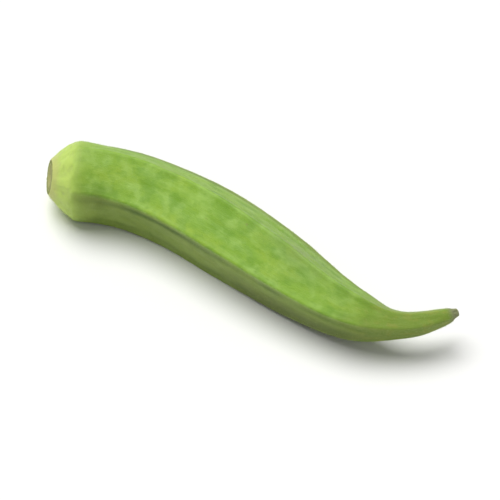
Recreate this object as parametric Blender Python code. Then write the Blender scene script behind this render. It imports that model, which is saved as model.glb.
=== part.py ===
"""An okra pod, cut from its plant and lying on a flat surface.

Run it with: blender --background --python part.py

The pod grew as one piece, so it is one solid: the cut end of its stem, the cap that the flower sat
on, the five-sided body and the thin beak. It lies along +X with its beak at +X and rests on z = 0.
The origin is on that surface, under the middle of the pod's box. Lengths are in metres, angles in
degrees, and a station is a distance along the pod's middle line, measured from the cut face.
"""

import math

import bmesh
import bpy
from mathutils import Vector

MM = 0.001
POD_NAME = "okra_pod"

# The pod's own sizes. A radius is measured from the middle line out to a ridge.
POD_LENGTH = 108.8 * MM
CUT_RADIUS = 4.1 * MM
CUT_EDGE = 0.25 * MM
CAP_LENGTH = 6.3 * MM
CAP_RADIUS = 9.6 * MM
RIM_WIDTH = 1.2 * MM
NECK_LENGTH = 3.0 * MM
NECK_RADIUS = 9.6 * MM
BELLY_PLACE = 0.44
BELLY_RADIUS = 9.9 * MM
BEAK_LENGTH = 16.5 * MM
BEAK_RADIUS = 3.3 * MM
STUB_LENGTH = 2.0 * MM
STUB_RADIUS = 1.15 * MM

# Where the five ridges run round the pod, from its near side, anticlockwise as seen from the cut end.
# The face between the last two is the one that the pod lies on.
RIDGE_ANGLES = (26.0, 93.0, 166.0, 234.0, 306.0)
RIDGE_SHARPNESS = 26.0
RIB_HEIGHT = 0.28 * MM
RIB_WIDTH = 0.75 * MM

# How far the pod's own weight presses its two lower ridges flat under the belly.
PRESS_DEPTH = 0.12 * MM

# The stem was cut a little askew, so that its face looks up and to the near side.
CUT_SLANT = 13.0
CUT_SLANT_ANGLE = 45.0

# How the mesh is laid out: columns round the pod for each face, and how far they crowd to the ridges.
COLUMNS_PER_FACE = 12
CROWDING = 0.45
# Rings on the cut face, as shares of its radius, and the spacing of rings along each stretch.
CUT_RINGS = (0.35, 0.7, 0.93)
CAP_SPACING = 0.6 * MM
BODY_SPACING = 2.0 * MM
BEAK_SPACING = 1.3 * MM
STUB_SPACING = 0.4 * MM

SKIN_COLOUR = (0.27, 0.46, 0.08, 1.0)
SKIN_ROUGHNESS = 0.5
SHARP_ANGLE = 35.0


class SmoothLine:
    """A line through a few points that has no corners and never overshoots them."""

    def __init__(self, *points):
        self.points = points
        rises = [(y1 - y0) / (x1 - x0) for (x0, y0), (x1, y1) in zip(points, points[1:])]
        inner = [2 * a * b / (a + b) if a * b > 0 else 0.0 for a, b in zip(rises, rises[1:])]
        self.slopes = [rises[0], *inner, rises[-1]]

    def __call__(self, x):
        last = len(self.points) - 2
        k = next((k for k in range(last) if x < self.points[k + 1][0]), last)
        (x0, y0), (x1, y1) = self.points[k], self.points[k + 1]
        width = x1 - x0
        t = (x - x0) / width
        start = y0 * (1 + 2 * t) * (1 - t) ** 2 + self.slopes[k] * width * t * (1 - t) ** 2
        end = y1 * (3 - 2 * t) * t**2 - self.slopes[k + 1] * width * t**2 * (1 - t)
        return start + end


BEAK_START = POD_LENGTH - BEAK_LENGTH
STUB_START = POD_LENGTH - STUB_LENGTH
BODY_LENGTH = BEAK_START - CAP_LENGTH


def along_body(share):
    """The station that lies this share of the way from the cap's rim to the beak."""
    return CAP_LENGTH + share * BODY_LENGTH


# Station to radius: the cap flares from the cut stem to its rounded rim, the neck runs nearly level
# behind it, the belly is fattest before the middle, and the beak ends in the flower's dry stub.
OUTLINE = SmoothLine(
    (0.0, CUT_RADIUS),
    (0.4 * CAP_LENGTH, 0.7 * CAP_RADIUS),
    (0.75 * CAP_LENGTH, 0.89 * CAP_RADIUS),
    (CAP_LENGTH, 0.982 * CAP_RADIUS),
    (CAP_LENGTH + RIM_WIDTH, CAP_RADIUS),
    (along_body(0.07), NECK_RADIUS),
    (along_body(0.2), 0.962 * BELLY_RADIUS),
    (along_body(BELLY_PLACE), BELLY_RADIUS),
    (along_body(0.62), 0.93 * BELLY_RADIUS),
    (along_body(0.78), 0.76 * BELLY_RADIUS),
    (along_body(0.92), 0.575 * BELLY_RADIUS),
    (BEAK_START + 0.12 * BEAK_LENGTH, BEAK_RADIUS),
    (BEAK_START + 0.6 * BEAK_LENGTH, 0.72 * BEAK_RADIUS),
    (STUB_START, 0.47 * BEAK_RADIUS),
    (STUB_START + 0.3 * STUB_LENGTH, STUB_RADIUS),
    (POD_LENGTH - 0.2 * STUB_LENGTH, 0.8 * STUB_RADIUS),
    (POD_LENGTH, 0.0),
)

# Station to how five-sided the section is: 0 is round and 1 has flat faces.
FACETING = SmoothLine(
    (0.0, 0.0),
    (CAP_LENGTH, 0.3),
    (along_body(0.1), 0.85),
    (along_body(0.25), 1.0),
    (along_body(0.8), 1.0),
    (BEAK_START + 0.4 * BEAK_LENGTH, 0.5),
    (STUB_START, 0.2),
    (POD_LENGTH, 0.0),
)

# Station to the heading of the middle line, from +X towards +Y: the neck and the beak curl the same way.
HEADING = SmoothLine(
    (0.0, 20.9),
    (CAP_LENGTH, 20.0),
    (along_body(0.22), -4.5),
    (along_body(0.5), -17.1),
    (along_body(0.74), -18.0),
    (along_body(0.92), -3.0),
    (BEAK_START + 0.6 * BEAK_LENGTH, 41.4),
    (POD_LENGTH, 50.9),
)

# Station to the climb of the middle line: the pod stands on its belly and on the rim of its cap, and
# the tip is held up off the surface.
CLIMB = SmoothLine(
    (0.0, -2.5),
    (CAP_LENGTH, -2.2),
    (along_body(0.3), -0.3),
    (along_body(0.5), 0.0),
    (along_body(0.7), -0.7),
    (POD_LENGTH, 3.0),
)

# How far the two lower ridges reach below the middle line at the belly.
RIDGE_DEPTH = -(BELLY_RADIUS + RIB_HEIGHT) * math.sin(math.radians(RIDGE_ANGLES[-1]))


def section_shares():
    """For each face of the section: the angle of its middle, and its depth as a share of the ridge's."""
    turns = zip(RIDGE_ANGLES, (*RIDGE_ANGLES[1:], RIDGE_ANGLES[0] + 360))
    return [(math.radians(a + b) / 2, math.cos(math.radians(b - a) / 2)) for a, b in turns]


FACES = section_shares()


def five_sided(angle):
    """Radius of a section with five flat faces and rounded ridges, as a share of the sharp ridge's radius."""
    total = 0.0
    for middle, distance in FACES:
        total += max(0.0, math.cos(angle - middle) / distance) ** RIDGE_SHARPNESS
    return total ** (-1 / RIDGE_SHARPNESS)


RIDGE_SHARE = five_sided(math.radians(RIDGE_ANGLES[0]))


def rib(angle, radius):
    """Height of the thin rib that runs along each ridge."""
    height = 0.0
    for ridge in RIDGE_ANGLES:
        turn = math.remainder(angle - math.radians(ridge), math.tau)
        height += RIB_HEIGHT * math.exp(-((turn * radius / RIB_WIDTH) ** 2))
    return height


def radius_at(station, angle):
    radius = OUTLINE(station)
    faceting = FACETING(station)
    share = 1 + faceting * (five_sided(angle) / RIDGE_SHARE - 1)
    return radius * share + faceting * rib(angle, radius)


def column_angle(column):
    """The angle of a column of vertices. Columns crowd towards the ridges, and one lies on each of them."""
    face, step = divmod(column, COLUMNS_PER_FACE)
    start = RIDGE_ANGLES[face]
    end = (*RIDGE_ANGLES[1:], RIDGE_ANGLES[0] + 360)[face]
    t = step / COLUMNS_PER_FACE
    eased = t - CROWDING * math.sin(math.tau * t) / math.tau
    return math.radians(start + (end - start) * eased)


def spread(start, end, spacing):
    """Evenly spaced stations from start up to but not including end."""
    count = max(1, round((end - start) / spacing))
    return [start + (end - start) * k / count for k in range(count)]


def ring_places():
    """(station, share of the radius) of each ring of vertices, from the middle of the cut face to the tip."""
    stations = [
        *spread(CUT_EDGE, CAP_LENGTH + NECK_LENGTH, CAP_SPACING),
        *spread(CAP_LENGTH + NECK_LENGTH, BEAK_START, BODY_SPACING),
        *spread(BEAK_START, STUB_START, BEAK_SPACING),
        *spread(STUB_START, POD_LENGTH, STUB_SPACING),
    ]
    return [(0.0, share) for share in CUT_RINGS] + [(station, 1.0) for station in stations]


def direction(station):
    """The way the middle line runs, the side of the pod that faces -Y, and the pod's own up."""
    heading = math.radians(HEADING(station))
    climb = math.radians(CLIMB(station))
    ahead = Vector((math.cos(heading), math.sin(heading), 0))
    near_side = Vector((math.sin(heading), -math.cos(heading), 0))
    forward = ahead * math.cos(climb) + Vector((0, 0, math.sin(climb)))
    return forward, near_side, (-forward).cross(near_side)


def middle_line(stations):
    """The points of the middle line at these stations, with the belly's at its height over the surface."""
    points = [Vector((0, 0, 0))]
    for start, end in zip(stations, stations[1:]):
        points.append(points[-1] + direction((start + end) / 2)[0] * (end - start))
    belly = min(range(len(stations)), key=lambda k: abs(stations[k] - along_body(BELLY_PLACE)))
    lift = RIDGE_DEPTH - PRESS_DEPTH - points[belly].z
    return [point + Vector((0, 0, lift)) for point in points]


def cut_shift(station, radius, angle):
    """How far the askew cut moves a point along the pod. It fades out over the cap."""
    fade = max(0.0, 1 - station / CAP_LENGTH)
    return math.tan(math.radians(CUT_SLANT)) * radius * math.cos(angle - math.radians(CUT_SLANT_ANGLE)) * fade


def shape_pod(ball):
    """Moves each vertex of a ball to its place on the pod. The ball's poles become the cut face and the tip."""
    places = [(0.0, 0.0), *ring_places(), (POD_LENGTH, 0.0)]
    centres = middle_line([station for station, share in places])
    columns = COLUMNS_PER_FACE * len(RIDGE_ANGLES)
    for vertex in ball.verts:
        x, y, z = vertex.co
        ring = round(math.acos(max(-1.0, min(1.0, z))) / math.pi * (len(places) - 1))
        column = round(math.atan2(y, x) / math.tau * columns) % columns
        station, share = places[ring]
        angle = column_angle(column)
        radius = share * radius_at(station, angle)
        forward, side, up = direction(station)
        vertex.co = centres[ring] + radius * (math.cos(angle) * side + math.sin(angle) * up)
        vertex.co += forward * cut_shift(station, radius, angle)


def lay_down(mesh):
    """Flattens what would dip below the surface, and puts the origin under the middle of the pod's box."""
    for vertex in mesh.verts:
        vertex.co.z = max(vertex.co.z, 0.0)
    middle = [
        (min(v.co[axis] for v in mesh.verts) + max(v.co[axis] for v in mesh.verts)) / 2 for axis in (0, 1)
    ]
    bmesh.ops.translate(mesh, verts=mesh.verts, vec=(-middle[0], -middle[1], 0))


def skin_material():
    material = bpy.data.materials.new("okra_skin")
    material.use_nodes = True
    shader = material.node_tree.nodes["Principled BSDF"]
    shader.inputs["Base Color"].default_value = SKIN_COLOUR
    shader.inputs["Roughness"].default_value = SKIN_ROUGHNESS
    shader.inputs["Metallic"].default_value = 0.0
    return material


def make_pod(collection):
    ball = bmesh.new()
    bmesh.ops.create_uvsphere(
        ball,
        u_segments=COLUMNS_PER_FACE * len(RIDGE_ANGLES),
        v_segments=len(ring_places()) + 1,
        radius=1.0,
    )
    shape_pod(ball)
    lay_down(ball)
    mesh = bpy.data.meshes.new(POD_NAME)
    ball.to_mesh(mesh)
    ball.free()
    mesh.materials.append(skin_material())
    mesh.shade_smooth()
    mesh.set_sharp_from_angle(angle=math.radians(SHARP_ANGLE))
    pod = bpy.data.objects.new(POD_NAME, mesh)
    collection.objects.link(pod)
    return pod


def main():
    for old in list(bpy.data.objects):
        bpy.data.objects.remove(old)
    collection = bpy.data.collections.new("okra_pod_parts")
    bpy.context.scene.collection.children.link(collection)
    make_pod(collection)


main()
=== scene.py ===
# %% [markdown]
# # A fresh okra pod, lying on a pale surface
#
# An okra pod is a soft-skinned fruit with five ridges. It was cut from its plant, so one end shows a
# round cut stem and the blunt cap that the flower sat on, and the other end runs out in a thin, curled
# beak. This lesson dresses the pod's plain solid, which comes from the frame and stays where it is.
# A finer pod of the same form goes over it, then its colours, then its fuzz, and last the studio.

# %% Load the frame
import math

import bpy
import numpy as np
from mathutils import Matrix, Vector, noise
from mathutils.bvhtree import BVHTree


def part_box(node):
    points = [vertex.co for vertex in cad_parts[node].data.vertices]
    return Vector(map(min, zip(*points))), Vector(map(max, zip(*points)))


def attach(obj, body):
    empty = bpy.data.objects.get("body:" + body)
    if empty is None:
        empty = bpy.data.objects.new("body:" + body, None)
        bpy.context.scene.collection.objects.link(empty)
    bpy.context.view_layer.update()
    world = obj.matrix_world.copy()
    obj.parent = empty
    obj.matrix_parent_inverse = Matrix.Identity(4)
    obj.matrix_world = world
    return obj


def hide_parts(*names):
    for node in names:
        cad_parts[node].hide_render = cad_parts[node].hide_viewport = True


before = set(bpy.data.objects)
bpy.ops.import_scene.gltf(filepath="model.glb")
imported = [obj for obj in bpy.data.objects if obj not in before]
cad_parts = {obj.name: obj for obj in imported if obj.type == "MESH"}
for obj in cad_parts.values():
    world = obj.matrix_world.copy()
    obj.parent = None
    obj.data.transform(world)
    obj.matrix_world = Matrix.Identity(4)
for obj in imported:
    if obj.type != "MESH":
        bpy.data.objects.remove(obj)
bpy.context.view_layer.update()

MM = 0.001

# %% [markdown]
# ## The pod's outline
#
# A pod's form can be told by how thick it is at each station, a distance along its middle line from the
# cut face. A few measured places are enough, if the line between them has no corners and never
# overshoots, because fruit grows smoothly. Each span of the line below is a cubic curve whose slope at a
# place is the harmonic mean of the slopes on its two sides. That mean is zero at a highest or lowest
# place, so a rim or a neck keeps its exact radius.

# %% A line without corners
class SmoothLine:
    """A line through a few points that has no corners and never overshoots them."""

    def __init__(self, *points):
        self.x, self.y = np.array(points).T
        rises = np.diff(self.y) / np.diff(self.x)
        inner = [2 * a * b / (a + b) if a * b > 0 else 0.0 for a, b in zip(rises, rises[1:])]
        self.slopes = np.array([rises[0], *inner, rises[-1]])

    def __call__(self, x):
        k = np.clip(np.searchsorted(self.x, x, side="right") - 1, 0, len(self.x) - 2)
        width = self.x[k + 1] - self.x[k]
        t = (x - self.x[k]) / width
        start = self.y[k] * (1 + 2 * t) * (1 - t) ** 2 + self.slopes[k] * width * t * (1 - t) ** 2
        end = self.y[k + 1] * (3 - 2 * t) * t**2 - self.slopes[k + 1] * width * t**2 * (1 - t)
        return start + end

# %% The pod's sizes, the same as the plain solid's
POD_LENGTH = 108.8 * MM
CUT_RADIUS = 4.1 * MM
CAP_LENGTH = 6.3 * MM
CAP_RADIUS = 9.6 * MM
RIM_WIDTH = 1.2 * MM
NECK_LENGTH = 3.0 * MM
NECK_RADIUS = 9.6 * MM
BELLY_PLACE = 0.44
BELLY_RADIUS = 9.9 * MM
BEAK_LENGTH = 16.5 * MM
BEAK_RADIUS = 3.3 * MM
STUB_LENGTH = 2.0 * MM
STUB_RADIUS = 1.15 * MM
BEAK_START = POD_LENGTH - BEAK_LENGTH
STUB_START = POD_LENGTH - STUB_LENGTH


def along_body(share):
    """The station that lies this share of the way from the cap's rim to the beak."""
    return CAP_LENGTH + share * (BEAK_START - CAP_LENGTH)


OUTLINE = SmoothLine(
    (0.0, CUT_RADIUS),
    (0.4 * CAP_LENGTH, 0.7 * CAP_RADIUS),
    (0.75 * CAP_LENGTH, 0.89 * CAP_RADIUS),
    (CAP_LENGTH, 0.982 * CAP_RADIUS),
    (CAP_LENGTH + RIM_WIDTH, CAP_RADIUS),
    (along_body(0.07), NECK_RADIUS),
    (along_body(0.2), 0.962 * BELLY_RADIUS),
    (along_body(BELLY_PLACE), BELLY_RADIUS),
    (along_body(0.62), 0.93 * BELLY_RADIUS),
    (along_body(0.78), 0.76 * BELLY_RADIUS),
    (along_body(0.92), 0.575 * BELLY_RADIUS),
    (BEAK_START + 0.12 * BEAK_LENGTH, BEAK_RADIUS),
    (BEAK_START + 0.6 * BEAK_LENGTH, 0.72 * BEAK_RADIUS),
    (STUB_START, 0.47 * BEAK_RADIUS),
    (STUB_START + 0.3 * STUB_LENGTH, STUB_RADIUS),
    (POD_LENGTH - 0.2 * STUB_LENGTH, 0.8 * STUB_RADIUS),
    (POD_LENGTH, 0.0),
)
print("the pod is", POD_LENGTH / MM, "mm long and", 2 * BELLY_RADIUS / MM, "mm across its belly")

# %% [markdown]
# ## Five sides
#
# Okra grows from five joined leaves, and the middle rib of each makes a ridge. A section with flat faces
# and rounded ridges could be a polygon with its corners rounded off. A formula is simpler to walk
# round: each face limits the radius to its distance over the cosine of the turn from its middle, and a
# high power of all five limits added together picks the nearest one and rounds the corners between.

# %% Ridges and faces
RIDGE_ANGLES = np.array((26.0, 93.0, 166.0, 234.0, 306.0))
RIDGE_SHARPNESS = 26.0
RIB_HEIGHT = 0.28 * MM
RIB_WIDTH = 0.75 * MM
NEXT_RIDGES = np.append(RIDGE_ANGLES[1:], RIDGE_ANGLES[0] + 360)
FACE_MIDDLES = np.radians(RIDGE_ANGLES + NEXT_RIDGES) / 2
FACE_SHARES = np.cos(np.radians(NEXT_RIDGES - RIDGE_ANGLES) / 2)

# Station to how five-sided the section is: 0 is round and 1 has flat faces.
FACETING = SmoothLine(
    (0.0, 0.0),
    (CAP_LENGTH, 0.3),
    (along_body(0.1), 0.85),
    (along_body(0.25), 1.0),
    (along_body(0.8), 1.0),
    (BEAK_START + 0.4 * BEAK_LENGTH, 0.5),
    (STUB_START, 0.2),
    (POD_LENGTH, 0.0),
)


def five_sided(angle):
    """Radius of a section with five flat faces and rounded ridges, as a share of the sharp ridge's radius."""
    limits = np.cos(angle[..., None] - FACE_MIDDLES) / FACE_SHARES
    return (np.maximum(limits, 0.0) ** RIDGE_SHARPNESS).sum(-1) ** (-1 / RIDGE_SHARPNESS)


def turn_from(angle, lines):
    """The smallest turn, in radians, from each angle to one of these lines along the pod."""
    turns = (angle[..., None] - lines + math.pi) % math.tau - math.pi
    return np.abs(turns).min(-1)


RIDGE_SHARE = five_sided(np.radians(RIDGE_ANGLES[:1]))
apart = np.degrees(np.diff(np.append(FACE_MIDDLES, FACE_MIDDLES[0] + math.tau)))
print("the middles of the faces are", apart.round(), "degrees apart")

# %% [markdown]
# ## The curled middle line
#
# The pod isn't straight: its neck and its beak curl the same way, and it stands on its belly and on the
# rim of its cap. A curve object could carry it, but then nothing would keep its length. Here the middle
# line is walked instead, in short steps of a known length, each in the heading and climb of its station.

# %% Heading and climb
HEADING = SmoothLine(
    (0.0, 20.9),
    (CAP_LENGTH, 20.0),
    (along_body(0.22), -4.5),
    (along_body(0.5), -17.1),
    (along_body(0.74), -18.0),
    (along_body(0.92), -3.0),
    (BEAK_START + 0.6 * BEAK_LENGTH, 41.4),
    (POD_LENGTH, 50.9),
)
CLIMB = SmoothLine(
    (0.0, -2.5),
    (CAP_LENGTH, -2.2),
    (along_body(0.3), -0.3),
    (along_body(0.5), 0.0),
    (along_body(0.7), -0.7),
    (POD_LENGTH, 3.0),
)
PRESS_DEPTH = 0.12 * MM
RIDGE_DEPTH = -(BELLY_RADIUS + RIB_HEIGHT) * math.sin(math.radians(RIDGE_ANGLES[-1]))


def directions(station):
    """The way the middle line runs, the side of the pod that faces -Y, and the pod's own up."""
    heading = np.radians(HEADING(station))
    climb = np.radians(CLIMB(station))
    level = np.zeros_like(station)
    near_side = np.stack((np.sin(heading), -np.cos(heading), level), -1)
    ahead = (np.cos(heading) * np.cos(climb), np.sin(heading) * np.cos(climb), np.sin(climb))
    forward = np.stack(ahead, -1)
    return forward, near_side, np.cross(-forward, near_side)


def middle_line(stations):
    """The points of the middle line at these stations, with the belly's at its height over the surface."""
    steps = directions((stations[1:] + stations[:-1]) / 2)[0] * np.diff(stations)[:, None]
    points = np.vstack((np.zeros(3), np.cumsum(steps, axis=0)))
    belly = np.abs(stations - along_body(BELLY_PLACE)).argmin()
    points[:, 2] += RIDGE_DEPTH - PRESS_DEPTH - points[belly, 2]
    return points


walk = middle_line(np.linspace(0, POD_LENGTH, 200))
print("the tip ends", round(walk[-1, 1] / MM, 1), "mm to the side of the cut end")

# %% [markdown]
# ## The grid of the skin
#
# A sculpted sphere would spend its faces evenly. The pod needs them along its ridges, at the rim of the
# cap and on the cut face, so its skin is a grid: rings along the pod and columns round it, with one
# column on each ridge and the others crowding towards them. The plain solid is laid out in the same way
# with a twentieth of the faces, so the two can be compared point by point.

# %% Rings and columns
COLUMNS_PER_FACE = 40
CROWDING = 0.4
CUT_EDGE = 0.1 * MM
CUT_SHARES = (0.06, 0.14, 0.22, 0.3, 0.38, 0.46, 0.53, 0.59, 0.65, 0.71, 0.77, 0.82, 0.87, 0.92, 0.96, 0.985)
CAP_SPACING = 0.14 * MM
BODY_SPACING = 0.27 * MM
STUB_SPACING = 0.12 * MM


def spread(start, end, spacing):
    """Evenly spaced stations from start up to but not including end."""
    return np.linspace(start, end, max(1, round((end - start) / spacing)), endpoint=False)


def column_angles():
    """The angle of each column. Columns crowd towards the ridges, and one lies on each of them."""
    t = np.arange(COLUMNS_PER_FACE) / COLUMNS_PER_FACE
    eased = t - CROWDING * np.sin(math.tau * t) / math.tau
    faces = RIDGE_ANGLES[:, None] + (NEXT_RIDGES - RIDGE_ANGLES)[:, None] * eased
    return np.radians(faces.ravel())


cap_end = CAP_LENGTH + NECK_LENGTH
OUTER_STATIONS = np.concatenate((
    spread(CUT_EDGE, cap_end, CAP_SPACING),
    spread(cap_end, STUB_START, BODY_SPACING),
    spread(STUB_START, POD_LENGTH, STUB_SPACING),
))
STATIONS = np.concatenate((np.zeros(len(CUT_SHARES)), OUTER_STATIONS))
SHARES = np.concatenate((CUT_SHARES, np.ones(len(OUTER_STATIONS))))
ANGLES = column_angles()
print(len(STATIONS), "rings of", len(ANGLES), "columns")

# %% Where each point lies on the straightened pod
station, angle = np.meshgrid(STATIONS, ANGLES, indexing="ij")
share = np.repeat(SHARES[:, None], len(ANGLES), axis=1)
plain_radius = OUTLINE(station)
ridge_gap = turn_from(angle, np.radians(RIDGE_ANGLES)) * plain_radius
seam_gap = turn_from(angle, FACE_MIDDLES) * plain_radius
straight = np.stack(
    (station, share * plain_radius * np.cos(angle), share * plain_radius * np.sin(angle)), -1
)
print("a ridge and a seam are up to", round(ridge_gap.max() / MM, 1), "mm apart")

# %% [markdown]
# ## Relief that can be seen
#
# Up close the skin isn't smooth. It swells and dips where the flesh grew unevenly, the seeds push it
# out in two rows beside each ridge, a shallow seam runs down the middle of each face, and fine veins run
# lengthwise. A bump map would fake all of it and leave the outline bare. The grid is fine enough to
# carry real relief, so every layer below is a height in metres that is added to the radius.

# %% Noise and soft steps
def lumps(along, across, seed):
    """Smooth noise from about -1 to 1, whose lumps measure this many metres along and across the pod."""
    scaled = straight / (along, across, across) + seed * 17.3
    flat = [noise.noise(place) for place in scaled.reshape(-1, 3).tolist()]
    return np.array(flat).reshape(station.shape)


def step(x, start, end):
    """0 before start, 1 after end, and a soft slope between. It falls where start lies after end."""
    t = np.clip((x - start) / (end - start), 0, 1)
    return t * t * (3 - 2 * t)


def bump(x, middle, width):
    """A soft bump of height 1 at the middle."""
    return np.exp(-(((x - middle) / width) ** 2))


body = step(station, CAP_LENGTH + RIM_WIDTH, along_body(0.12)) * step(station, STUB_START, BEAK_START)
cap = step(station, CAP_LENGTH, 0.8 * CAP_LENGTH)
print("the body's share of the points is", round(float((body > 0.5).mean()), 2))

# %% The body's swells, hollow faces, seams and veins
SWELL_HEIGHT = 0.16 * MM
DIMPLE_HEIGHT = 0.05 * MM
FACE_HOLLOW = 0.04 * MM
SEAM_DEPTH = 0.04 * MM
SEAM_WIDTH = 0.5 * MM
VEIN_HEIGHT = 0.02 * MM

across_face = np.clip(seam_gap / (seam_gap + ridge_gap + 1e-9), 0, 1)
belly_share = step(station, along_body(0.08), along_body(0.3))
belly_share *= step(station, along_body(0.98), along_body(0.75))
swells = SWELL_HEIGHT * lumps(17 * MM, 8 * MM, 1)
dimples = DIMPLE_HEIGHT * lumps(4.2 * MM, 2.2 * MM, 2)
hollows = -FACE_HOLLOW * (1 - across_face**2) * belly_share
seam_drift = 0.35 * MM * lumps(14 * MM, 30 * MM, 3)
seams = -SEAM_DEPTH * bump(seam_gap + seam_drift, 0, SEAM_WIDTH) * belly_share
veins = VEIN_HEIGHT * (1 - 2 * np.abs(lumps(11 * MM, 0.8 * MM, 4)))
body_relief = body * (swells + dimples + veins) + hollows + seams
print("the body's relief spans", round(float(np.ptp(body_relief)) / MM, 2), "mm")

# %% The seeds beneath the skin
SEED_PITCH = 5.6 * MM
SEED_HEIGHT = 0.17 * MM
SEED_LENGTH = 2.1 * MM
SEED_WIDTH = 1.5 * MM
SEED_OFFSET = 0.27
FIRST_SEED = along_body(0.14)
LAST_SEED = along_body(0.86)


def seed_rows():
    """The station, angle and strength of each seed, in two staggered rows beside each ridge."""
    draw = np.random.default_rng(11)
    faces = NEXT_RIDGES - RIDGE_ANGLES
    for ridge, (before, after) in enumerate(zip(np.roll(faces, 1), faces)):
        for side, face in ((-1, before), (1, after)):
            first = FIRST_SEED + (0.25 + 0.25 * side) * SEED_PITCH
            for place in np.arange(first, LAST_SEED, SEED_PITCH):
                turn = math.radians(RIDGE_ANGLES[ridge] + side * face * (SEED_OFFSET + draw.normal(0, 0.03)))
                yield place + draw.normal(0, 0.5 * MM), turn, draw.uniform(0.35, 1.0)


seeds = np.zeros_like(station)
for place, turn, strength in seed_rows():
    across = (turn_from(angle, np.array([turn])) * plain_radius) / SEED_WIDTH
    seeds += strength * np.exp(-(((station - place) / SEED_LENGTH) ** 2) - across**2)
print("the seeds push the skin out by up to", round(float(seeds.max()) * SEED_HEIGHT / MM, 2), "mm")

# %% [markdown]
# ## Ridges, cap and dry stub
#
# The ridges carry a thin rib that is uneven like a hand-drawn line, and on the pod's lower half a
# shallow groove runs beside it. The cap is the seat that the flower fell from, so its rim is an uneven
# lip with a faint scar behind parts of it, and low ribs run down its flank. The beak is wrinkled
# lengthwise, and the stub at its end has dried and shrunk.

# %% Ribs along the ridges, and grooves beside them on the lower half
GROOVE_DEPTH = 0.15 * MM
GROOVE_GAP = 2.2 * MM
GROOVE_WIDTH = 0.9 * MM
DEEPEST_PLACE = 36 * MM
DEEPEST_LENGTH = 17 * MM

rib_strength = 1 + 0.35 * lumps(9 * MM, 40 * MM, 5) + 0.2 * lumps(2.5 * MM, 40 * MM, 6)
ribs = FACETING(station) * RIB_HEIGHT * bump(ridge_gap, 0, RIB_WIDTH) * rib_strength
lower_half = step(np.sin(angle), 0.5, 0.35)
off_floor = 0.4 + 0.6 * step(np.sin(angle), -0.55, -0.2)
deepest = bump(station, DEEPEST_PLACE, DEEPEST_LENGTH)
groove_strength = np.clip(0.4 + 0.5 * deepest + 0.5 * lumps(8 * MM, 3 * MM, 19), 0, 1) * FACETING(station)
# The groove's mask also carries painted shade into the skin's colour beside the lower ribs.
groove_and_shade = groove_strength * bump(ridge_gap, GROOVE_GAP, GROOVE_WIDTH) * lower_half * off_floor
ribs -= GROOVE_DEPTH * groove_and_shade
print("a rib stands", round(float(ribs.max()) / MM, 2), "mm proud at most")

# %% The cap's rim, scar and flank
RIM_DRIFT = 0.5 * MM
LIP_HEIGHT = 0.05 * MM
SCAR_DEPTH = 0.06 * MM
CAP_RIBS = 10
CAP_RIB_HEIGHT = 0.16 * MM
CAP_ROUGHNESS = 0.1 * MM

rim_drift = RIM_DRIFT * lumps(60 * MM, 4 * MM, 7)
lip_strength = 0.7 + 0.6 * lumps(60 * MM, 1.6 * MM, 8)
lip = LIP_HEIGHT * lip_strength * bump(station, CAP_LENGTH + rim_drift, 0.45 * MM)
scar_strength = np.clip(0.1 + 1.3 * lumps(60 * MM, 3.5 * MM, 16), 0, 1)
scar = -SCAR_DEPTH * scar_strength * bump(station, CAP_LENGTH + 0.85 * MM + rim_drift, 0.3 * MM)
rib_waves = np.cos(CAP_RIBS * angle + 1.5 * lumps(60 * MM, 9 * MM, 9))
flank = CAP_RIB_HEIGHT * (np.abs(rib_waves) ** 0.7 * np.sign(rib_waves)) * cap * step(station, 0, 2 * MM)
knobs = CAP_ROUGHNESS * lumps(1.3 * MM, 1.3 * MM, 10) * cap
ridge_tops = 0.08 * MM * bump(ridge_gap, 0, 2.2 * MM) * bump(station, CAP_LENGTH, 3.5 * MM)
cap_relief = lip + scar + flank + knobs + ridge_tops
print("the cap's relief spans", round(float(np.ptp(cap_relief)) / MM, 2), "mm")

# %% The beak's wrinkles and the dry stub
BEAK_WRINKLE = 0.06 * MM
STUB_WRINKLE = 0.12 * MM

beak = step(station, BEAK_START - 6 * MM, BEAK_START + 2 * MM)
stub = step(station, STUB_START - 0.3 * MM, STUB_START + 0.3 * MM)
wrinkles = BEAK_WRINKLE * lumps(7 * MM, 0.7 * MM, 11) * beak
shrunk = STUB_WRINKLE * (lumps(2.5 * MM, 0.35 * MM, 12) + lumps(0.7 * MM, 0.7 * MM, 13)) * stub
tip_relief = (wrinkles + shrunk) * step(station, POD_LENGTH, POD_LENGTH - 0.5 * MM)
print("the stub's wrinkles span", round(float(np.ptp(shrunk)) / MM, 2), "mm")

# %% [markdown]
# ## The cut face
#
# A knife went through the stem, a little askew. The face shows what a stem is made of: a spongy pith
# that sinks as it dries, a firmer ring of vessels round it, and the green rind. It is part of the same
# grid, in rings from its middle to its edge, and its relief moves it along the stem and not outwards.
# A picked pod's cut dries within a day, so all of it is a dull straw green.

# %% The askew cut and what the knife left
CUT_SLANT = math.radians(13.0)
CUT_SLANT_ANGLE = math.radians(45.0)
PITH_DEPTH = 0.45 * MM
VESSEL_HEIGHT = 0.12 * MM
VESSEL_SHARE = 0.63
VESSELS = 22
KNIFE_PITCH = 0.55 * MM

slant_fade = np.clip(1 - station / CAP_LENGTH, 0, 1)
slant = math.tan(CUT_SLANT) * share * plain_radius * np.cos(angle - CUT_SLANT_ANGLE) * slant_fade
on_cut = (station == 0.0).astype(float)
pith = -PITH_DEPTH * step(share, 0.56, 0.3)
beads = 0.6 + 0.4 * np.cos(VESSELS * angle + 2 * lumps(60 * MM, 3 * MM, 14))
vessels = VESSEL_HEIGHT * bump(share, VESSEL_SHARE, 0.07) * beads
knife_marks = 0.02 * MM * np.cos(math.tau * (straight[..., 1] + 0.4 * straight[..., 2]) / KNIFE_PITCH)
roughness = 0.06 * MM * lumps(MM, 0.5 * MM, 15)
cut_relief = on_cut * (pith + vessels + knife_marks + roughness)
print("the pith sinks", round(-float(cut_relief.min()) / MM, 2), "mm")

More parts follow.
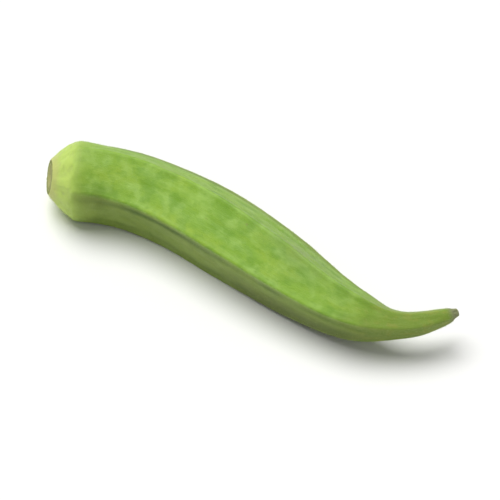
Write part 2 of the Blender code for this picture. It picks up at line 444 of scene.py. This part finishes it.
# %% [markdown]
# ## Bending the straight pod onto its line
#
# Every point now has a station, an angle and a radius. It is carried to the middle line at its station
# and turned into the pod's own directions there. What would dip below the surface is pressed flat, as
# soft skin is under the pod's own weight. The finished pod is then moved so that its box stands in the
# middle of the plain solid's box, and the gap between the two is measured.

# %% Carry the grid to its place
def place_on_pod(radius, push):
    """The points of the grid at these radii, pushed along the pod by this much."""
    forward, side, up = directions(STATIONS)
    outward = np.cos(angle)[..., None] * side[:, None] + np.sin(angle)[..., None] * up[:, None]
    points = middle_line(STATIONS)[:, None] + radius[..., None] * outward + push[..., None] * forward[:, None]
    points[..., 2] = np.maximum(points[..., 2], 0.0)
    return points


def box_middle(points):
    """The middle of the box round these points, on the surface that the pod lies on."""
    low, high = points.reshape(-1, 3).min(0), points.reshape(-1, 3).max(0)
    return np.array(((low[0] + high[0]) / 2, (low[1] + high[1]) / 2, 0.0))


share_of_ridge = 1 + FACETING(station) * (five_sided(angle) / RIDGE_SHARE - 1)
solid_ribs = FACETING(station) * RIB_HEIGHT * bump(ridge_gap, 0, RIB_WIDTH)
smooth_points = place_on_pod(share * (plain_radius * share_of_ridge + solid_ribs), slant)
NODE_LOW, NODE_HIGH = (np.array(corner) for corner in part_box("okra_pod"))
node_middle = box_middle(np.stack((NODE_LOW, NODE_HIGH)))
to_node = node_middle - box_middle(smooth_points)

drifted_radius = OUTLINE(np.clip(station - rim_drift * bump(station, CAP_LENGTH, 2 * MM), 0, POD_LENGTH))
relief = body_relief + SEED_HEIGHT * seeds * body + ribs + cap_relief + tip_relief
pod_radius = share * (drifted_radius * share_of_ridge + relief * (1 - on_cut))
pod_points = place_on_pod(np.maximum(pod_radius, 0.0), slant - cut_relief) + to_node
print("the fine pod was moved by", (to_node / MM).round(2), "mm")

# %% Make its mesh
def end_point(row, station_there):
    """The point that closes the grid at one end: in the middle of this ring, at this station."""
    middle = pod_points[row].mean(0)
    gap = station_there - STATIONS[row]
    return middle + directions(STATIONS[[row]])[0][0] * gap


def grid_faces(rings, columns):
    """Four-sided faces between neighbouring rings, and fans to the first and last vertex."""
    column = np.arange(columns)
    after = (column + 1) % columns
    quads = []
    for ring in range(rings - 1):
        near, far = 1 + ring * columns, 1 + (ring + 1) * columns
        quads.append(np.stack((near + column, far + column, far + after, near + after), -1))
    last = 1 + (rings - 1) * columns
    start_fan = np.stack((np.zeros(columns, int), 1 + column, 1 + after), -1)
    end_fan = np.stack((last + column, np.full(columns, 1 + rings * columns), last + after), -1)
    return [*start_fan.tolist(), *np.concatenate(quads).tolist(), *end_fan.tolist()]


def new_piece(name, points, faces):
    """A mesh object in the scene, shaded smooth."""
    mesh = bpy.data.meshes.new(name)
    mesh.from_pydata(points, [], faces)
    mesh.shade_smooth()
    piece = bpy.data.objects.new(name, mesh)
    bpy.context.scene.collection.objects.link(piece)
    return piece


all_points = np.vstack((end_point(0, 0.0)[None], pod_points.reshape(-1, 3), end_point(-1, POD_LENGTH)[None]))
pod = new_piece("pod_skin", all_points.tolist(), grid_faces(*station.shape))
pod.data.calc_loop_triangles()
print("the fine pod has", len(pod.data.loop_triangles), "triangles")

# %% Compare it with the plain solid
def largest_gap(points, node):
    """The largest distance from one of these points to the surface of a node of the frame."""
    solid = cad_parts[node].data
    places = [vertex.co for vertex in solid.vertices]
    tree = BVHTree.FromPolygons(places, [face.vertices for face in solid.polygons])
    return max(tree.find_nearest(Vector(point))[3] for point in points)


stray = largest_gap(all_points[::23], "okra_pod")
print("the fine pod strays", round(stray / MM, 2), "mm from the solid at most")

# %% [markdown]
# ## Telling the colours where they are
#
# The skin's colours follow the pod: the cap is yellow-green, the ridges are pale, the beak is olive, and
# streaks run along the bent body. Plain object coordinates would cut straight through the bends. So
# each vertex keeps its place on the straightened pod and its distance from the ridges as attributes
# that the material reads. So does its share of whatever has a place of its own: a greyish painted sheen
# on the upper side, the painted shade of the underside, and two darker patches, the first of them
# painted shade.

# %% A greyish painted sheen on the upper side
SHEEN_PLACE = 68.0 * MM
SHEEN_LENGTH = 11.0 * MM
SHEEN_ANGLE = math.radians(105.0)
SHEEN_WIDTH = 4.5 * MM

# Painted sheen: a greyish, paler patch high on the upper side, beyond the top ridge.
across_sheen = turn_from(angle, np.array([SHEEN_ANGLE])) * plain_radius
painted_sheen = bump(station, SHEEN_PLACE, SHEEN_LENGTH) * bump(across_sheen, 0, SHEEN_WIDTH)
painted_sheen = painted_sheen * np.clip(0.7 + 0.8 * lumps(5 * MM, 2.5 * MM, 17), 0, 1)
print("the bloom covers", round(float((painted_sheen > 0.3).mean()) * 100), "% of the points")

# %% The painted shade of the underside
RIDGE_TURN = math.sin(math.radians(RIDGE_ANGLES[0]))
UNDERSIDE_EDGE = 0.12
LOWEST_START = 42 * MM
LOWEST_FULL = 64 * MM

# Painted shade and painted floor reflection: below the near ridge the skin gets a duller, greyer green.
underside_shade = step(np.sin(angle), RIDGE_TURN, RIDGE_TURN - UNDERSIDE_EDGE)
underside_shade *= step(station, CAP_LENGTH - 3 * MM, CAP_LENGTH + 4 * MM)
# Painted shade that deepens where the underside turns under, from the belly towards the beak.
lowest_shade = step(np.sin(angle), 0.15, -0.65) * underside_shade * step(station, LOWEST_START, LOWEST_FULL)
print("the underside is", round(float((underside_shade > 0.5).mean()) * 100), "% of the points")

# %% Two darker patches on the near side: painted shade behind the cap, and a blotch before the beak
# Each has its station, its angle in degrees, its length and its width.
DARK_PATCHES = (
    (13.5 * MM, 16.0, 6 * MM, 3 * MM),
    (88 * MM, 20.0, 6 * MM, 2 * MM),
)


def dark_patch(place, turn, length, width):
    """A blotch with a ragged edge at this station and angle."""
    across = turn_from(angle, np.array([math.radians(turn)])) * plain_radius
    ragged = np.clip(0.8 + 1.1 * lumps(3.5 * MM, 2.2 * MM, 18), 0, 1.3)
    return np.clip(bump(station, place, length) * bump(across, 0, width) * ragged, 0, 1)


dark_patches = sum(dark_patch(*sizes) for sizes in DARK_PATCHES)
print("the bruises cover", round(float((dark_patches > 0.3).mean()) * 100), "% of the points")

# %% Attributes of the skin
def store(piece, name, kind, field, values):
    """Keeps one value for each vertex of the piece."""
    layer = piece.data.attributes.new(name, kind, "POINT")
    layer.data.foreach_set(field, np.ascontiguousarray(values).ravel())


def with_ends(grid, first, last):
    """The grid's values in the order of the mesh's vertices."""
    width = grid.shape[-1] if grid.ndim == 3 else 1
    return np.vstack((np.atleast_2d(first), grid.reshape(-1, width), np.atleast_2d(last)))


store(pod, "straight", "FLOAT_VECTOR", "vector", with_ends(straight / MM, (0, 0, 0), (POD_LENGTH / MM, 0, 0)))
store(pod, "ridge_gap", "FLOAT", "value", with_ends(ridge_gap / MM, 5.0, 0.0))
store(pod, "cut_share", "FLOAT", "value", with_ends(share, 0.0, 1.0))
LOCAL_SHARES = {
    "seed": seeds * body,
    "groove_and_shade": groove_and_shade,
    "scar": -scar / SCAR_DEPTH,
    "painted_sheen": painted_sheen,
    "underside_shade": underside_shade,
    "lowest_shade": lowest_shade,
    "dark_patches": dark_patches,
}
for local_name, local_share in LOCAL_SHARES.items():
    store(pod, local_name, "FLOAT", "value", with_ends(local_share, 0.0, 0.0))
print("the skin carries", [layer.name for layer in pod.data.attributes if layer.domain == "POINT"])

# %% [markdown]
# ## Materials as sums
#
# A material's nodes are sums and mixes of a few measured things, so they read best as sums. The small
# class below wraps a node's output, and +, - and * on it add the Math node for that sum. Every other
# node comes from one method, with its settings first and then its sockets.

# %% A node's output that can stand in a sum
class Wire:
    """A node's output. A sum written with it adds Math nodes to its material."""

    def __init__(self, finish, socket):
        self.finish = finish
        self.socket = socket

    def maths(self, operation, first, second):
        return self.finish.node("Math", {"operation": operation}, {0: first, 1: second})

    def __add__(self, other):
        return self.maths("ADD", self, other)

    def __sub__(self, other):
        return self.maths("SUBTRACT", self, other)

    def __mul__(self, other):
        return self.maths("MULTIPLY", self, other)

    def __rsub__(self, other):
        return self.maths("SUBTRACT", other, self)

    __radd__ = __add__
    __rmul__ = __mul__

# %% A material and its one method for nodes
class Finish:
    """A material with a Principled shader, and the nodes that feed it."""

    def __init__(self, name, **settings):
        self.material = bpy.data.materials.new(name)
        self.material.use_nodes = True
        self.tree = self.material.node_tree
        self.shader = self.tree.nodes["Principled BSDF"]
        for socket, value in settings.items():
            self.fill(self.shader.inputs[socket.replace("_", " ")], value)

    def fill(self, socket, value):
        """Gives a socket a number, a colour or another node's output."""
        if isinstance(value, Wire):
            self.tree.links.new(value.socket, socket)
        else:
            socket.default_value = value

    def node(self, kind, settings, sockets, output=0):
        """Any node: its settings are made first, then its sockets get values or links."""
        added = self.tree.nodes.new("ShaderNode" + kind)
        for name, value in settings.items():
            setattr(added, name, value)
        for socket, value in sockets.items():
            self.fill(added.inputs[socket], value)
        return Wire(self, added.outputs[output])

    def kept(self, name, output="Fac"):
        """What the mesh keeps under this name for each vertex."""
        return self.node("Attribute", {"attribute_name": name}, {}, output)

    def step(self, value, start, end):
        """0 before start, 1 after end, and a soft slope between. It falls where start lies after end."""
        low, high, before, after = (start, end, 0.0, 1.0) if start < end else (end, start, 1.0, 0.0)
        settings = {"interpolation_type": "SMOOTHSTEP"}
        return self.node("MapRange", settings, {0: value, 1: low, 2: high, 3: before, 4: after})

    def mix(self, share, first, second):
        """The first colour where share is 0 and the second where it is 1."""
        return self.node("Mix", {"data_type": "RGBA"}, {0: share, 6: first, 7: second}, 2)

    def stretched(self, place, along, across):
        """The place counted in lumps of this many millimetres along and across the pod."""
        counts = (1 / along, 1 / across, 1 / across)
        return self.node("VectorMath", {"operation": "MULTIPLY"}, {0: place, 1: counts})

    def lumps(self, place, along, across, detail=2.0):
        """Noise from 0 to 1 in lumps of this many millimetres along and across the pod."""
        sockets = {"Vector": self.stretched(place, along, across), "Scale": 1.0, "Detail": detail}
        return self.node("TexNoise", {}, sockets)


def rgb(red, green, blue):
    """A colour as Blender's sockets take it, from the 0 to 255 of a paint program."""
    shares = [value / 255 for value in (red, green, blue)]
    linear = [value / 12.92 if value <= 0.04045 else ((value + 0.055) / 1.055) ** 2.4 for value in shares]
    return (*linear, 1.0)


print("mid green is", [round(value, 3) for value in rgb(146, 186, 76)])

# %% [markdown]
# ## The skin
#
# Fresh okra skin is a soft satin yellow-green. It is never one flat colour: broad patches are deeper or
# yellower, pale streaks run lengthwise, the ridges are paler, and a few scratches have dried brown. Shade
# and sheen are painted in as well: the underside gets a duller, greyer green as its shade and the pale
# floor's reflection would make it, darker where it turns under towards the beak and darkest in the
# grooves, a patch of painted shade sits on the neck, and a greyish painted sheen lies on the upper side.
# Image textures would stretch over the bends, so the colours are mixed from noise on the straightened pod.

# %% The skin's colours
FRESH = rgb(130, 170, 46)
DEEP = rgb(102, 148, 30)
YELLOWER = rgb(150, 180, 50)
PALE = rgb(160, 196, 96)
# The next five colours paint light and shade into the skin: a greyish sheen, the underside's duller shade,
# its darker turn under, the shade in the grooves, and darker patches, the first of them shade.
SHEEN_GREY = rgb(126, 152, 84)
UNDERSIDE_SHADE = rgb(128, 134, 74)
LOWEST_SHADE = rgb(92, 100, 50)
GROOVE_SHADE = rgb(66, 94, 24)
DARK_PATCH = rgb(96, 112, 30)
YELLOW_GREEN = rgb(190, 213, 106)
BEIGE = rgb(190, 194, 116)
DULL = rgb(158, 178, 92)
STRAW = rgb(164, 160, 72)
OLIVE = rgb(120, 142, 54)
DRY = rgb(122, 104, 62)
DARK_DRY = rgb(136, 138, 106)


def body_colour(skin, place):
    """The body's green: patches, streaks and ridges, with a painted sheen above and painted shade below."""
    elsewhere = skin.node("VectorMath", {}, {0: place, 1: (31, 7, 3)})
    blotches = skin.step(skin.lumps(elsewhere, 5.5, 4.5, 3), 0.5, 0.64)
    patches = skin.step(skin.lumps(place, 14, 6, 3), 0.4, 0.68)
    warm = skin.step(skin.lumps(elsewhere, 9, 4.5, 3), 0.45, 0.72)
    mottle = skin.step(skin.lumps(elsewhere, 3.4, 2.8, 3), 0.42, 0.7)
    streaks = skin.step(skin.lumps(place, 16, 1.6, 4), 0.52, 0.76)
    threads = skin.step(skin.lumps(place, 6, 0.35, 2), 0.54, 0.72)
    flecks = skin.step(skin.lumps(place, 1.6, 1.2, 3), 0.48, 0.66)
    ridge = skin.step(skin.kept("ridge_gap"), 0.9, 0.1) * skin.step(skin.lumps(place, 6, 2, 3), 0.25, 0.6)
    colour = skin.mix(patches * 0.6, FRESH, DEEP)
    colour = skin.mix(warm * 0.5, colour, YELLOWER)
    colour = skin.mix(blotches * 0.55, colour, DEEP)
    colour = skin.mix(mottle * 0.44, colour, PALE)
    colour = skin.mix(streaks * 0.24, colour, PALE)
    colour = skin.mix(flecks * 0.28, colour, DEEP)
    colour = skin.mix(threads * 0.08, colour, PALE)
    # Painted sheen: a greyish, paler green on the upper side.
    colour = skin.mix(skin.kept("painted_sheen") * 0.75, colour, SHEEN_GREY)
    colour = skin.mix(skin.kept("seed") * 0.12, colour, PALE)
    # Painted shade and painted floor reflection: a duller, greyer green below the near ridge.
    colour = skin.mix(skin.kept("underside_shade") * 0.55, colour, UNDERSIDE_SHADE)
    # Painted shade, darker where the underside turns under towards the beak.
    colour = skin.mix(skin.kept("lowest_shade") * 0.65, colour, LOWEST_SHADE)
    # Painted shade in the grooves beside the lower ribs.
    colour = skin.mix(skin.kept("groove_and_shade") * 0.85, colour, GROOVE_SHADE)
    # Darker patches: the one behind the cap is painted shade on the neck below the near ridge.
    colour = skin.mix(skin.kept("dark_patches") * 0.6, colour, DARK_PATCH)
    return skin.mix(ridge * 0.15, colour, PALE)

# %% The ends' colours
def end_colours(skin, place, along, colour):
    """Over the body's green: the cap and its scar, the olive beak, the dry stub, and scratches."""
    wobble = (skin.lumps(place, 3, 3, 3) - 0.5) * 1.6
    cap_end_mm = CAP_LENGTH / MM
    cap = skin.step(along + wobble * 1.5, cap_end_mm + 2.6, cap_end_mm - 2.6)
    neck = skin.step(along + wobble * 3, cap_end_mm + 8, cap_end_mm)
    scar = skin.kept("scar")
    near_cut = skin.step(along + wobble, 2.6, 0.2)
    dapples = skin.step(skin.lumps(place, 2.4, 1.7, 3), 0.47, 0.66)
    beak = skin.step(along + wobble * 2, 80, 96)
    dry_tip = skin.step(along + wobble, STUB_START / MM - 1.5, STUB_START / MM + 0.6)
    colour = skin.mix(neck * 0.22, colour, YELLOW_GREEN)
    colour = skin.mix(cap * 0.85, colour, YELLOW_GREEN)
    colour = skin.mix(cap * dapples * 0.35, colour, DULL)
    colour = skin.mix(scar * 0.14, colour, DRY)
    colour = skin.mix(near_cut * 0.8, colour, BEIGE)
    colour = skin.mix(beak * 0.75, colour, OLIVE)
    colour = skin.mix(beak * dapples * 0.3, colour, STRAW)
    return skin.mix(dry_tip * 0.85, colour, DARK_DRY)


def scratches(skin, place):
    """Where thin scratches and small specks have dried brown."""
    spots = skin.node("TexVoronoi", {}, {"Vector": skin.stretched(place, 8.5, 5), "Scale": 1.0}, "Distance")
    specks = skin.step(spots + (skin.lumps(place, 0.8, 0.5, 3) - 0.5) * 0.12, 0.06, 0.03)
    scratched = skin.step(skin.lumps(place, 9, 7, 2), 0.56, 0.64)
    lines = skin.step(skin.lumps(place, 5, 0.22, 2), 0.715, 0.75) * scratched
    return skin.node("Math", {"operation": "MAXIMUM"}, {0: specks * 0.3, 1: lines * 0.25})

# %% The cut face's colours
PITH = rgb(160, 160, 104)
VESSEL_RING = rgb(122, 128, 68)
RIND = rgb(112, 122, 58)


def cut_colours(skin, place, colour):
    """Over the rest: the pale pith, the ring of vessels and the rind of the cut face."""
    depth = skin.kept("cut_share")
    speckle = skin.step(skin.lumps(place, 0.5, 0.35, 3), 0.35, 0.7)
    ring = skin.step(depth, VESSEL_SHARE - 0.12, VESSEL_SHARE)
    ring = ring * skin.step(depth, VESSEL_SHARE + 0.14, VESSEL_SHARE)
    face = skin.mix(skin.step(depth, 0.68, 0.86), PITH, RIND)
    face = skin.mix(ring * (0.5 + 0.5 * speckle), face, VESSEL_RING)
    face = skin.mix(speckle * 0.25, face, BEIGE)
    face = skin.mix(skin.step(depth, 0.9, 0.97) * 0.5, face, DRY)
    return skin.mix(skin.step(depth, 0.99, 0.965), colour, face)

# %% Put the skin together
SKIN_ROUGHNESS = 0.54


def skin_bump(skin, place, along):
    """Heights in millimetres of what is too fine for the grid: cells, threads and the feet of hairs."""
    cells = skin.node(
        "TexVoronoi",
        {"feature": "DISTANCE_TO_EDGE"},
        {"Vector": skin.stretched(place, 0.7, 0.42), "Scale": 1.0},
    )
    feet = skin.node("TexVoronoi", {}, {"Vector": skin.stretched(place, 1.0, 0.9), "Scale": 1.0}, "Distance")
    threads = skin.lumps(place, 4, 0.3, 3)
    on_skin = skin.step(skin.kept("cut_share"), 0.97, 0.99)
    fine = skin.step(cells, 0.0, 0.25) * 0.012 + threads * 0.03 + skin.step(feet, 0.28, 0.05) * 0.015
    coarse = skin.lumps(place, 0.5, 0.3, 4) * 0.12
    dry = skin.step(along, STUB_START / MM - 0.5, STUB_START / MM + 0.3)
    return fine * on_skin + coarse * (1 - on_skin) + coarse * dry


def skin_finish():
    """The material of the whole pod."""
    skin = Finish(
        "okra_skin_fresh",
        Subsurface_Weight=0.1,
        Subsurface_Radius=(0.9, 1.0, 0.35),
        Subsurface_Scale=0.0015,
        Specular_IOR_Level=0.3,
        Sheen_Weight=0.06,
        Sheen_Roughness=0.45,
        Sheen_Tint=rgb(220, 235, 190),
    )
    place = skin.kept("straight", "Vector")
    along = skin.node("SeparateXYZ", {}, {0: place})
    marks = scratches(skin, place)
    green = skin.mix(marks, body_colour(skin, place), DRY)
    colour = cut_colours(skin, place, end_colours(skin, place, along, green))
    dry_stub = skin.step(along, STUB_START / MM - 1, STUB_START / MM + 0.3)
    dull = skin.step(skin.kept("cut_share"), 0.99, 0.965) + dry_stub
    sheen_patches = (skin.lumps(place, 9, 4, 3) - 0.5) * 0.3
    heights = skin_bump(skin, place, along)
    skin.fill(skin.shader.inputs["Base Color"], colour)
    skin.fill(skin.shader.inputs["Roughness"], sheen_patches + SKIN_ROUGHNESS + dull * 0.3)
    relief_normal = skin.node("Bump", {}, {"Strength": 1.0, "Distance": MM, "Height": heights}, "Normal")
    skin.fill(skin.shader.inputs["Normal"], relief_normal)
    return skin.material


pod.data.materials.append(skin_finish())
print("the skin's material has", len(pod.data.materials[0].node_tree.nodes), "nodes")

# %% [markdown]
# ## Fuzz
#
# Okra is covered with very short, fine hairs, which soften its shine and catch the light along its
# edges. Blender's hair system would draw them well, but a particle isn't a mesh and is lost when the
# model is handed on. Each hair here is a thin three-sided spike rooted in the skin, leaning towards
# the tip. They stand closer on the ridges, the cap and the beak than on the faces.

# %% Where the hairs stand
HAIR_COUNT = 15000
HAIR_LENGTH = 0.42 * MM
HAIR_RADIUS = 0.018 * MM
HAIR_LEAN = 0.55
LOWEST_HAIR = 0.9 * MM

draw = np.random.default_rng(5)
corners = pod_points, np.roll(pod_points, -1, axis=1)
cell_round = (corners[1] - corners[0])[:-1]
cell_along = pod_points[1:] - pod_points[:-1]
cell_normal = np.cross(cell_along, cell_round)
cell_area = np.linalg.norm(cell_normal, axis=-1)
crowd = 0.55 + 0.9 * bump(ridge_gap, 0, 1.2 * MM) + 0.8 * cap + 0.6 * beak
bald = (on_cut > 0) | (stub > 0.1) | (pod_points[..., 2] < LOWEST_HAIR)
chance = (cell_area * np.where(bald, 0.0, crowd)[:-1]).ravel()
cells = draw.choice(chance.size, HAIR_COUNT, p=chance / chance.sum())
row, column = np.unravel_index(cells, cell_area.shape)
print("hairs stand", round(HAIR_COUNT / (cell_area.sum() / MM**2), 1), "to each square millimetre")

# %% Make the hairs
def hair_points():
    """The three root corners and the tip of every hair."""
    root = corners[0][row, column] + cell_round[row, column] * draw.random((HAIR_COUNT, 1))
    root = root + cell_along[row, column] * draw.random((HAIR_COUNT, 1))
    out = cell_normal[row, column] / cell_area[row, column][:, None]
    ahead = directions(STATIONS)[0][row]
    lean = ahead * HAIR_LEAN + draw.normal(0, 0.3, (HAIR_COUNT, 3))
    way = out + lean
    way /= np.linalg.norm(way, axis=1)[:, None]
    length = HAIR_LENGTH * draw.uniform(0.45, 1.15, (HAIR_COUNT, 1))
    sideways = np.cross(way, ahead)
    sideways /= np.linalg.norm(sideways, axis=1)[:, None]
    third = np.cross(way, sideways)
    sunk = root - out * 2 * HAIR_RADIUS
    turns = [math.tau * k / 3 for k in range(3)]
    feet = [sunk + HAIR_RADIUS * (math.cos(turn) * sideways + math.sin(turn) * third) for turn in turns]
    return np.stack((*feet, root + way * length), 1).reshape(-1, 3)


spike = np.array(((0, 1, 3), (1, 2, 3), (2, 0, 3), (2, 1, 0)))
spikes = (4 * np.arange(HAIR_COUNT)[:, None, None] + spike).reshape(-1, 3)
fuzz = new_piece("pod_fuzz", hair_points().tolist(), spikes.tolist())
hair_finish = Finish("okra_fuzz", Base_Color=rgb(186, 206, 130), Roughness=0.6, Specular_IOR_Level=0.2)
fuzz.data.materials.append(hair_finish.material)
print("the fuzz has", len(fuzz.data.polygons), "triangles")

# %% [markdown]
# ## The studio
#
# The pod lies on a plain pale floor in soft light, seen from above and a little to one side through a
# long lens, which keeps its ends from looking bent. One broad lamp above and behind the cap end gives
# the faces their different greens, helped by the shade painted into the skin's underside, and the pale
# floor fills the shaded side. A square lamp over the pod would leave the floor behind it dark, so the
# broad lamp is a very far one and lights all of the floor alike. Far from the pod the floor sweeps up
# like a studio's paper, so a low camera sees no horizon.

# %% The floor and its far sweep
FLOOR_RADIUS = 4.0
SWEEP_START = 3.0
SWEEP_HEIGHT = 0.35
SWEEP_RINGS = 16
FLOOR_SPOKES = 96

floor_finish = Finish("pale_floor", Base_Color=rgb(240, 240, 238), Roughness=0.8)
turns = np.linspace(0, math.tau, FLOOR_SPOKES, endpoint=False)
rings = [SWEEP_START / 2, 0.95 * SWEEP_START, *np.linspace(SWEEP_START, FLOOR_RADIUS, SWEEP_RINGS)]
floor_points = [(0.0, 0.0, 0.0)]
for ring in rings:
    rise = SWEEP_HEIGHT * max(0.0, (ring - SWEEP_START) / (FLOOR_RADIUS - SWEEP_START)) ** 2
    floor_points += [(ring * math.cos(turn), ring * math.sin(turn), rise) for turn in turns]
floor = new_piece("floor", floor_points, grid_faces(len(rings), len(turns))[:-len(turns)])
floor.data.materials.append(floor_finish.material)
print("the floor is", 2 * FLOOR_RADIUS, "m wide")

# %% The lamps and the sky
KEY_PLACE = (-0.25, 0.1, 0.68)
KEY_BREADTH = math.radians(51)
KEY_STRENGTH = 3.05
FRONT_PLACE = (0.35, -0.6, 0.5)
FRONT_SIZE = 0.5
FRONT_POWER = 0.15
SKY_STRENGTH = 0.28


def aim(thing, place, target):
    """Puts a lamp or camera at a place, looking at a target."""
    thing.location = place
    thing.rotation_euler = (Vector(target) - Vector(place)).to_track_quat("-Z", "Y").to_euler()


def add_lamp(name, kind, place, **settings):
    """A lamp that shines on the pod."""
    light = bpy.data.lights.new(name, kind)
    for setting, value in settings.items():
        setattr(light, setting, value)
    lamp = bpy.data.objects.new(name, light)
    bpy.context.scene.collection.objects.link(lamp)
    aim(lamp, place, (0, 0, 0))


add_lamp("key_lamp", "SUN", KEY_PLACE, angle=KEY_BREADTH, energy=KEY_STRENGTH)
add_lamp("front_lamp", "AREA", FRONT_PLACE, size=FRONT_SIZE, energy=FRONT_POWER)
sky = bpy.data.worlds.new("studio_sky")
sky.use_nodes = True
sky.node_tree.nodes["Background"].inputs["Color"].default_value = (1, 1, 1, 1)
sky.node_tree.nodes["Background"].inputs["Strength"].default_value = SKY_STRENGTH
bpy.context.scene.world = sky
bpy.context.scene.view_settings.view_transform = "Standard"
print("two lamps and a sky light the pod")

# %% The camera
CAMERA_TURN = math.radians(25.0)
CAMERA_HEIGHT = math.radians(45.0)
CAMERA_DISTANCE = 0.8
FRAME_WIDTH = 0.114
SENSOR_WIDTH = 36.0

view = bpy.data.cameras.new("camera")
view.sensor_width = SENSOR_WIDTH
view.lens = SENSOR_WIDTH * CAMERA_DISTANCE / FRAME_WIDTH
camera = bpy.data.objects.new("camera", view)
bpy.context.scene.collection.objects.link(camera)
toward = Vector((
    math.sin(CAMERA_TURN) * math.cos(CAMERA_HEIGHT),
    -math.cos(CAMERA_TURN) * math.cos(CAMERA_HEIGHT),
    math.sin(CAMERA_HEIGHT),
))
TARGET = Vector((0.001, 0.0, 0.007))
aim(camera, TARGET + toward * CAMERA_DISTANCE, TARGET)
bpy.context.scene.camera = camera
print("the lens is", round(view.lens), "mm long")

# %% [markdown]
# ## Handing over
#
# The fine skin stands for the plain solid, and the fuzz rides along with it.

# %% Ride and replace
for piece in (pod, fuzz):
    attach(piece, "root")
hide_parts("okra_pod")
